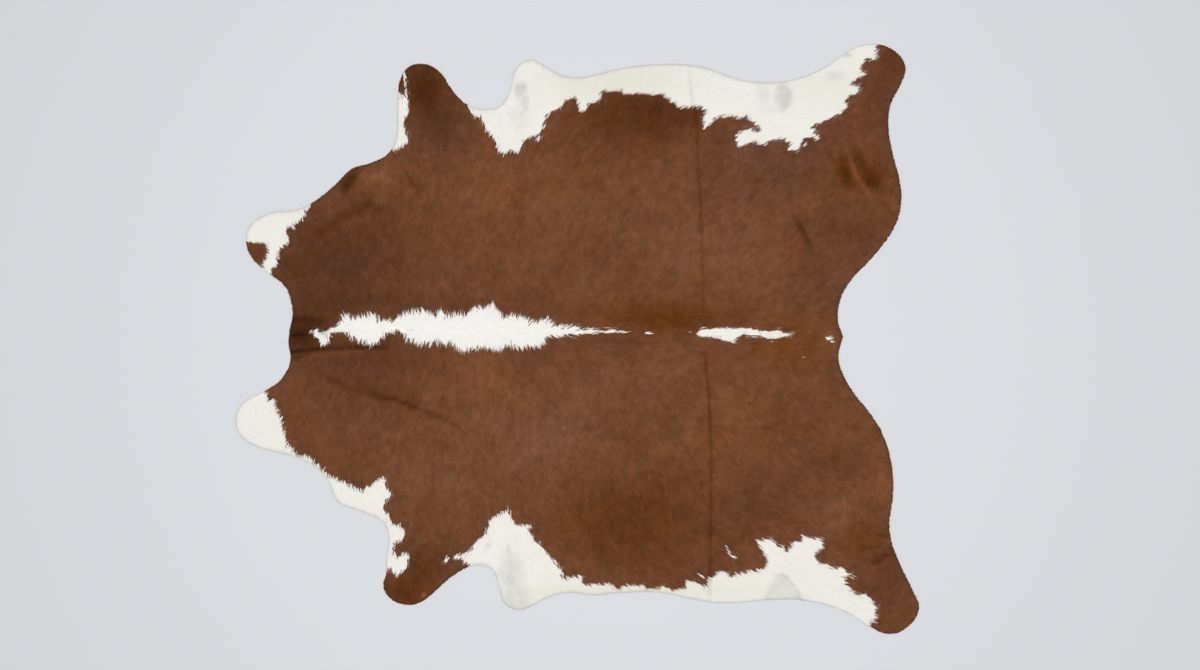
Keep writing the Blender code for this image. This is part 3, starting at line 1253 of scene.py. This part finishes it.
@dataclass
class HideLayer:
    """One closed layer of the hide, cut to the outline and laid on the relief."""

    name: str
    outline: Outline
    relief: Relief
    inset: float
    base: float
    thickness: float
    cell: float = 0.0138
    knife_reach: float = 0.05
    trough_share: float = 0.85
    smooth_angle: float = math.radians(40)

    def cutter(self) -> bpy.types.Object:
        """Make the prism that the sheet is cut with: a filled circle pulled to the outline.

        Returns:
            The prism.
        """
        corners = self.outline.inset(self.inset) if self.inset else self.outline.loop
        deselect_all()
        bpy.ops.mesh.primitive_circle_add(vertices=len(corners), radius=1.0, fill_type="NGON")
        prism = bpy.context.object
        for vertex, corner in zip(prism.data.vertices, corners):
            vertex.co = (corner[0], corner[1], -self.knife_reach)
        bpy.ops.object.mode_set(mode="EDIT")
        bpy.ops.mesh.select_all(action="SELECT")
        up = (0.0, 0.0, 2.0 * self.knife_reach)
        bpy.ops.mesh.extrude_region_move(TRANSFORM_OT_translate={"value": up})
        bpy.ops.mesh.select_all(action="SELECT")
        bpy.ops.mesh.normals_make_consistent(inside=False)
        bpy.ops.object.mode_set(mode="OBJECT")
        return prism

    def build(self) -> bpy.types.Object:
        """Cut a fine slab to the outline and lay it on the relief.

        Returns:
            The finished layer.
        """
        prism = self.cutter()
        low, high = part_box(NODE)
        width = high.x - low.x + 4.0 * self.cell
        depth = high.y - low.y + 4.0 * self.cell
        deselect_all()
        bpy.ops.mesh.primitive_grid_add(
            x_subdivisions=round(width / self.cell),
            y_subdivisions=round(depth / self.cell),
            size=1.0,
            location=((low.x + high.x) / 2, (low.y + high.y) / 2, 0.0),
        )
        layer = bpy.context.object
        layer.name = self.name
        layer.data.name = self.name
        layer.scale = (width, depth, 1.0)
        bpy.ops.object.transform_apply(location=True, rotation=True, scale=True)
        solidify = layer.modifiers.new("thickness", "SOLIDIFY")
        solidify.thickness = self.thickness
        solidify.offset = 1.0
        cut = layer.modifiers.new("cut to the outline", "BOOLEAN")
        cut.operation = "INTERSECT"
        cut.solver = "EXACT"
        cut.object = prism
        make_active(layer)
        bpy.ops.object.modifier_apply(modifier=solidify.name)
        bpy.ops.object.modifier_apply(modifier=cut.name)
        bpy.data.objects.remove(prism, do_unlink=True)
        self.lay(layer.data)
        bpy.ops.object.shade_smooth_by_angle(angle=self.smooth_angle)
        return layer

    def lay(self, mesh: bpy.types.Mesh) -> None:
        """Lift the layer to its base height and lay it on the relief, no lower than the floor.

        Args:
            mesh: The layer's mesh.
        """
        spots = points_of(mesh)
        least_half_width = self.trough_share * self.cell
        spots[:, 2] += self.base + self.relief.height(spots[:, :2], least_half_width)
        spots[:, 2] = np.maximum(spots[:, 2], 0.0)
        mesh.vertices.foreach_set("co", spots.ravel())
        mesh.update()


class CoatPart(Enum):
    """The parts that the coat is laid in, each from a front to a rear place on the spine."""

    NECK = ("coat_neck", -1.20, -0.52)
    SHOULDER = ("coat_shoulder", -0.52, -0.14)
    BARREL = ("coat_barrel", -0.14, 0.22)
    LOIN = ("coat_loin", 0.22, 0.60)
    RUMP = ("coat_rump", 0.60, 1.20)


LENGTH_ZONES = zones(
    ("mane of the front spine mark", -400, 30, 420, 75, 0.8),
    ("right foreleg", -500, 800, 90, 120, -0.35),
    ("left foreleg", -540, -780, 100, 100, -0.35),
    ("right hind leg", 1010, 820, 80, 140, -0.3),
    ("left hind leg", 1030, -820, 90, 140, -0.3),
    ("right cheek", -1020, 320, 80, 80, -0.25),
    ("left cheek", -1040, -280, 80, 80, -0.25),
    ("rear spine mark", 520, 15, 180, 30, -0.25),
)


SMOOTH_ZONES = zones(
    ("mane of the front spine mark", -400, 30, 500, 90, -0.42),
    ("rear spine mark", 540, 15, 200, 40, 1),
    ("tip of the front spine mark", 140, 20, 100, 30, 1),
    ("right cheek tip", -1040, 270, 60, 60, 0.7),
    ("right foreleg spot", -570, 810, 30, 60, 0.6),
    ("front end of the spine mark", -820, 10, 45, 40, 0.7),
)


class TuftDraw(Enum):
    """What is drawn once for a whole tuft, each with its seed."""

    TURN = 101
    LENGTH = 102
    TONE = 103


@dataclass(frozen=True)
class Gathering:
    """Which tuft each lock belongs to."""

    middles: Places
    cells: np.ndarray

    def draw(self, kind: TuftDraw) -> np.ndarray:
        """Draw one number from -1 to 1 for each lock, the same for all locks of a tuft.

        Args:
            kind: What the numbers are for.

        Returns:
            The numbers.
        """
        rng = np.random.default_rng(kind.value)
        table = rng.uniform(-1.0, 1.0, (Tufts.PERIOD, Tufts.PERIOD))
        return table[self.cells[:, 0], self.cells[:, 1]]


class Tufts:
    """Small tufts that neighbouring locks gather into."""

    PERIOD: ClassVar[int] = 512
    SEED: ClassVar[int] = 41
    MIDDLE: ClassVar[tuple[float, float]] = (0.1, 0.9)

    def __init__(self, size: float) -> None:
        """Scatter the tufts' middles, one in each cell of a lattice.

        Args:
            size: Usual distance between two tufts.
        """
        self.size = size
        rng = np.random.default_rng(self.SEED)
        self.shake = rng.uniform(*self.MIDDLE, (self.PERIOD, self.PERIOD, 2))

    def gather(self, roots: Places) -> Gathering:
        """Find the nearest tuft of every lock.

        Args:
            roots: The locks' roots.

        Returns:
            Each lock's tuft.
        """
        own = np.floor(roots / self.size).astype(int)
        best = np.full(len(roots), np.inf)
        middles = np.zeros_like(roots)
        cells = np.zeros_like(own)
        for step_x in (-1, 0, 1):
            for step_y in (-1, 0, 1):
                cell = own + (step_x, step_y)
                wrapped = cell % self.PERIOD
                middle = (cell + self.shake[wrapped[:, 0], wrapped[:, 1]]) * self.size
                square = ((roots - middle) ** 2).sum(axis=1)
                nearer = square < best
                best[nearer] = square[nearer]
                middles[nearer] = middle[nearer]
                cells[nearer] = wrapped[nearer]
        return Gathering(middles, cells)


@dataclass
class Coat:
    """The hair itself: small pointed locks, combed the way the hair lies.

    Readings say how far along a lock its colour is read. What is drawn multiplies a lock's size.
    """

    ROOT_SEED: ClassVar[int] = 5
    SEED: ClassVar[int] = 8

    outline: Outline
    relief: Relief
    flow: HairFlow
    pattern: CoatPattern
    spacing: float = 0.00415
    quick_coarseness: float = 2.0
    root_shake: float = 0.45
    length: float = 0.0175
    least_length: float = 0.0015
    width: float = 0.0037
    tuft_size: float = 0.009
    fullness: float = 0.0004
    crest: float = 0.30
    lift: float = 0.0013
    sunk: float = 0.0003
    edge_margin: float = 0.0010
    overhang: float = 0.0008
    trims: int = 3
    trimmed_to: float = 0.05
    short_in_troughs: float = 0.55
    short_on_ridges: float = 0.10
    tuft_turn: float = math.radians(10.0)
    lock_turn: float = math.radians(4.0)
    tuft_length: float = 0.25
    mark_reading: float = 0.62
    root_reading: float = 0.45
    tip_reading: float = 0.95
    lone_share: float = 0.22
    white_contrast: float = 0.008
    brown_contrast: float = 0.07
    tuft_contrast: float = 0.5
    glints: float = 0.004
    glint_depth: float = 0.40
    lengths_drawn: tuple[float, float] = (0.75, 1.25)
    widths_drawn: tuple[float, float] = (0.7, 1.3)
    lifts_drawn: tuple[float, float] = (0.5, 1.5)
    lift_by_length: tuple[float, float] = (0.75, 1.3)
    gathering_drawn: tuple[float, float] = (0.35, 0.75)
    shade_limits: tuple[float, float] = (0.6, 1.7)

    def coarseness(self) -> float:
        """How much wider and further apart the locks are than usual."""
        return 1.0

    def lock_template(self) -> tuple[np.ndarray, np.ndarray]:
        """Model one lock: a three-sided cone laid along +X, its crest drawn towards the tip.

        Returns:
            The corners, with length, half width and height all 1, and the triangles.
        """
        deselect_all()
        bpy.ops.mesh.primitive_cone_add(vertices=3, radius1=1.0, radius2=0.0, depth=1.0)
        cone = bpy.context.object
        bpy.ops.object.mode_set(mode="EDIT")
        bpy.ops.mesh.select_all(action="SELECT")
        bpy.ops.mesh.quads_convert_to_tris()
        bpy.ops.object.mode_set(mode="OBJECT")
        corners = np.array([vertex.co[:] for vertex in cone.data.vertices])
        faces = np.array([face.vertices[:] for face in cone.data.polygons])
        bpy.data.objects.remove(cone, do_unlink=True)
        laid = np.stack([corners[:, 2] + 0.5, corners[:, 0], corners[:, 1]], axis=1)
        laid[:, 1] /= np.abs(laid[:, 1]).max()
        laid[:, 2] = np.where(laid[:, 2] > 0.5, 1.0, 0.0)
        laid[:, 0] += self.crest * laid[:, 2]
        return laid, faces

    def roots(self) -> Places:
        """Scatter the locks' roots over the hide on a shaken lattice.

        Returns:
            The roots.
        """
        spacing = self.spacing * self.coarseness()
        low = self.outline.loop.min(0)
        high = self.outline.loop.max(0)
        row_gap = spacing * math.sqrt(0.75)
        columns = np.arange(low[0], high[0], spacing)
        rows = np.arange(low[1], high[1], row_gap)
        grid_x, grid_y = np.meshgrid(columns, rows)
        grid_x = grid_x + 0.5 * spacing * (np.arange(len(rows)) % 2)[:, None]
        places = np.stack([grid_x.ravel(), grid_y.ravel()], axis=1)
        rng = np.random.default_rng(self.ROOT_SEED)
        places += rng.uniform(-self.root_shake, self.root_shake, places.shape) * spacing
        return places[self.outline.depth(places) > self.edge_margin]

    def lengths(self, places: Places, rng: np.random.Generator) -> np.ndarray:
        """Draw the locks' lengths.

        Args:
            places: The locks' roots.
            rng: Source of the draws.

        Returns:
            The length of the lock at each root.
        """
        factor = np.ones(len(places))
        for zone in LENGTH_ZONES:
            factor += zone.value * zone_weights(zone, places)
        for crease in CREASES:
            short = self.short_in_troughs if crease.rise < 0.0 else self.short_on_ridges
            factor *= 1.0 - short * self.relief.crease_weights(crease, places)
        return self.length * factor * rng.uniform(*self.lengths_drawn, len(places))

    def trimmed(self, roots: Places, ways: Places, lengths: np.ndarray) -> np.ndarray:
        """Cut the locks that would hang past the hide's edge.

        Args:
            roots: The locks' roots.
            ways: The locks' directions.
            lengths: Their lengths before the cut.

        Returns:
            Their lengths after the cut.
        """
        at_root = self.outline.depth(roots) + self.overhang
        cut = lengths.copy()
        for _ in range(self.trims):
            at_tip = self.outline.depth(roots + ways * cut[:, None]) + self.overhang
            share = at_root / np.maximum(at_root - at_tip, TINY)
            cut = np.where(at_tip < 0.0, cut * np.clip(share, self.trimmed_to, 1.0), cut)
        return np.maximum(cut, self.least_length)

    def build(self) -> list[bpy.types.Object]:
        """Lay the whole coat.

        Returns:
            One piece for each part of the coat.
        """
        rng = np.random.default_rng(self.SEED)
        roots = self.roots()
        count = len(roots)
        tufts = Tufts(self.tuft_size).gather(roots)
        tuft_angles = self.flow.angles(tufts.middles) + self.tuft_turn * tufts.draw(TuftDraw.TURN)
        angles = tuft_angles + self.lock_turn * rng.normal(size=count)
        ways = np.stack([np.cos(angles), np.sin(angles)], axis=1)
        lengths = self.lengths(roots, rng) * (1.0 + self.tuft_length * tufts.draw(TuftDraw.LENGTH))
        lengths = self.trimmed(roots, ways, lengths)
        sides = np.stack([-ways[:, 1], ways[:, 0]], axis=1)
        astray = np.sum((roots - tufts.middles) * sides, axis=1)
        gathering = astray * rng.uniform(*self.gathering_drawn, count)
        gathering *= np.clip(lengths / self.length, 0.0, 1.0)
        tips = roots + ways * lengths[:, None] - sides * gathering[:, None]
        low_sample, high_sample = self.colours(roots, tips, tufts, rng)
        widths = self.width * self.coarseness() * rng.uniform(*self.widths_drawn, count)
        lifts = self.lift * rng.uniform(*self.lifts_drawn, count)
        lifts *= np.clip(lengths / self.length, *self.lift_by_length)
        root_height = LEATHER_THICKNESS + UNDERFUR_THICKNESS - self.sunk
        root_z = root_height + self.relief.height(roots)
        tip_z = root_height + self.relief.height(tips) + lifts
        corners, faces = self.lock_template()
        spots = self.place(corners, roots, tips, widths, root_z, tip_z)
        at_tip = corners[:, 0] > 0.5
        pieces = []
        for part in CoatPart:
            name, front, rear = part.value
            chosen = np.flatnonzero((roots[:, 0] >= front) & (roots[:, 0] < rear))
            readings = CoatSample(*(
                np.where(at_tip, high[chosen, None], low[chosen, None]).ravel()
                for low, high in zip(low_sample, high_sample)
            ))
            along = np.tile(corners[:, 0], len(chosen))
            pieces.append(self.piece(name, spots[chosen], faces, readings, along))
            LOG.info("%s: %d locks", name, len(chosen))
        return pieces

    def colours(
        self,
        roots: Places,
        tips: Places,
        tufts: Gathering,
        rng: np.random.Generator,
    ) -> tuple[CoatSample, CoatSample]:
        """Colour every lock; the locks of one tuft often agree on brown or white.

        Args:
            roots: The locks' roots.
            tips: The locks' tips.
            tufts: The tuft each lock belongs to.
            rng: Source of the draws.

        Returns:
            One reading for each lock near its root, and one at its tip.
        """
        reach = (tips - roots) * self.mark_reading
        alone = np.full(len(roots), self.lone_share)
        for zone in SMOOTH_ZONES:
            alone += zone.value * zone_weights(zone, roots)
        middles = np.where((rng.random(len(roots)) < alone)[:, None], roots, tufts.middles)
        marks = self.pattern.in_marks(middles + reach)
        flecks = self.pattern.in_flecks(roots + reach)
        white = (np.maximum(marks, flecks) > 0.5).astype(float)
        depth = np.where(white > 0.5, self.white_contrast, self.brown_contrast)
        draws = rng.normal(size=len(roots)) + self.tuft_contrast * tufts.draw(TuftDraw.TONE)
        uneven = 1.0 + depth * draws
        shines = (rng.random(len(roots)) < self.glints) & (white < 0.5)
        uneven += self.glint_depth * shines
        uneven = uneven.clip(*self.shade_limits)
        readings = []
        for share in (self.root_reading, self.tip_reading):
            sample = self.pattern.sample(roots + (tips - roots) * share, white)
            readings.append(sample._replace(shade=sample.shade * uneven))
        return readings[0], readings[1]

    def place(
        self,
        corners: np.ndarray,
        roots: Places,
        tips: Places,
        widths: np.ndarray,
        root_z: np.ndarray,
        tip_z: np.ndarray,
    ) -> np.ndarray:
        """Copy the lock to every root.

        Args:
            corners: The lock's corners.
            roots: Where each copy starts.
            tips: Where each copy ends.
            widths: How wide each copy is.
            root_z: Height of each root.
            tip_z: Height of each tip.

        Returns:
            The corners of every copy, one block of rows for each lock.
        """
        runs = tips - roots
        ways = runs / np.linalg.norm(runs, axis=1)[:, None]
        sides = np.stack([-ways[:, 1], ways[:, 0]], axis=1)
        across = corners[None, :, 1] * widths[:, None] / 2
        flat = (roots[:, None, :] + runs[:, None, :] * corners[None, :, 0, None]
                + sides[:, None, :] * across[:, :, None])
        height = (root_z[:, None] + (tip_z - root_z)[:, None] * corners[None, :, 0]
                  + self.fullness * corners[None, :, 2])
        return np.concatenate([flat, height[:, :, None]], axis=2)

    def piece(
        self,
        name: str,
        spots: np.ndarray,
        faces: np.ndarray,
        sample: CoatSample,
        along: np.ndarray,
    ) -> bpy.types.Object:
        """Join the copies of one part into one mesh.

        Args:
            name: The part's name.
            spots: The corners of its locks.
            faces: The lock's triangles.
            sample: The coat's reading for each corner.
            along: How far along its lock each corner lies.

        Returns:
            The part.
        """
        count, corner_count = spots.shape[:2]
        triangles = faces[None] + (np.arange(count) * corner_count)[:, None, None]
        triangles = triangles.reshape(-1, 3).astype(np.int32)
        mesh = bpy.data.meshes.new(name)
        mesh.vertices.add(count * corner_count)
        mesh.vertices.foreach_set("co", spots.astype(np.float32).ravel())
        mesh.loops.add(triangles.size)
        mesh.loops.foreach_set("vertex_index", triangles.ravel())
        mesh.polygons.add(len(triangles))
        mesh.polygons.foreach_set("loop_start", np.arange(0, triangles.size, 3, dtype=np.int32))
        mesh.polygons.foreach_set("use_smooth", np.zeros(len(triangles), bool))
        mesh.update(calc_edges=True)
        paint(mesh, sample, along)
        piece = bpy.data.objects.new(name, mesh)
        bpy.context.scene.collection.objects.link(piece)
        return piece


@dataclass
class CowhideRug:
    """The whole rug: leather, underfur and coat."""

    leather_thickness: float = LEATHER_THICKNESS
    underfur_thickness: float = UNDERFUR_THICKNESS
    layer_gap: float = 0.00005
    underfur_inset: float = 0.0015
    underfur_along: float = 0.5

    def build(self) -> list[bpy.types.Object]:
        """Build and dress every piece.

        Returns:
            The rug's pieces.
        """
        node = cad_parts[NODE]
        outline = Outline(node)
        relief = Relief(node)
        pattern = CoatPattern(outline, relief)
        cowhair = CowhairFinish().material("cowhair")
        leather = HideLayer("leather", outline, relief, 0.0, 0.0, self.leather_thickness).build()
        leather.data.materials.append(SuedeFinish().material("suede"))
        unwrap_from_above(leather.data)
        LOG.info("leather: %d faces", len(leather.data.polygons))
        base = self.leather_thickness + self.layer_gap
        underfur = HideLayer(
            "underfur", outline, relief, self.underfur_inset, base, self.underfur_thickness
        ).build()
        self.dress_underfur(underfur, pattern, cowhair)
        LOG.info("underfur: %d faces", len(underfur.data.polygons))
        coat = Coat(outline, relief, HairFlow(FLOW_MARKS), pattern).build()
        for part in coat:
            part.data.materials.append(cowhair)
            unwrap_from_above(part.data)
        pieces = [leather, underfur, *coat]
        for piece in pieces:
            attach(piece, BODY)
            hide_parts(NODE)
        return pieces

    def dress_underfur(
        self,
        underfur: bpy.types.Object,
        pattern: CoatPattern,
        cowhair: bpy.types.Material,
    ) -> None:
        """Paint the underfur with the coat's own pattern.

        Args:
            underfur: The layer to paint.
            pattern: The coat's pattern.
            cowhair: The finish.
        """
        mesh = underfur.data
        places = points_of(mesh)[:, :2]
        white = np.maximum(pattern.in_marks(places), pattern.in_flecks(places))
        along = np.full(len(mesh.vertices), self.underfur_along)
        paint(mesh, pattern.sample(places, white), along)
        mesh.materials.append(cowhair)
        unwrap_from_above(mesh)


@dataclass(frozen=True)
class Studio:
    """A pale floor, soft light from above and a camera that looks straight down."""

    camera_x: float = 0.0732
    camera_y: float = 0.0130
    camera_height: float = 5.376
    focal_length: float = 50.0
    floor_size: float = 14.0
    floor_drop: float = 0.0004
    light_x: float = 0.1
    light_height: float = 7.0
    light_size: float = 4.5
    light_power: float = 467.0
    sky: Colour = (0.96, 0.98, 1.0)
    sky_strength: float = 0.333

    def build(self) -> None:
        """Add the floor, the lights and the camera."""
        deselect_all()
        under = (0.0, 0.0, -self.floor_drop)
        bpy.ops.mesh.primitive_plane_add(size=self.floor_size, location=under)
        floor = bpy.context.object
        floor.name = "floor"
        floor.data.materials.append(FloorFinish().material("pale_floor"))
        bpy.ops.object.light_add(type="AREA", location=(self.light_x, 0.0, self.light_height))
        light = bpy.context.object
        light.name = "overhead_light"
        light.data.shape = "DISK"
        light.data.size = self.light_size
        light.data.energy = self.light_power
        world = bpy.data.worlds.new("soft_sky")
        world.use_nodes = True
        sky = world.node_tree.nodes["Background"]
        sky.inputs["Color"].default_value = (*self.sky, 1.0)
        sky.inputs["Strength"].default_value = self.sky_strength
        bpy.context.scene.world = world
        bpy.context.scene.view_settings.view_transform = "Standard"
        lens = bpy.data.cameras.new("camera")
        lens.lens = self.focal_length
        camera = bpy.data.objects.new("camera", lens)
        camera.location = (self.camera_x, self.camera_y, self.camera_height)
        bpy.context.scene.collection.objects.link(camera)
        bpy.context.scene.camera = camera


def main() -> None:
    """Build the rug and its studio."""
    logging.basicConfig(level=logging.INFO, format="%(name)s: %(message)s")
    Studio().build()
    pieces = CowhideRug().build()
    LOG.info("%d pieces", len(pieces))


if __name__ == "__main__":
    main()
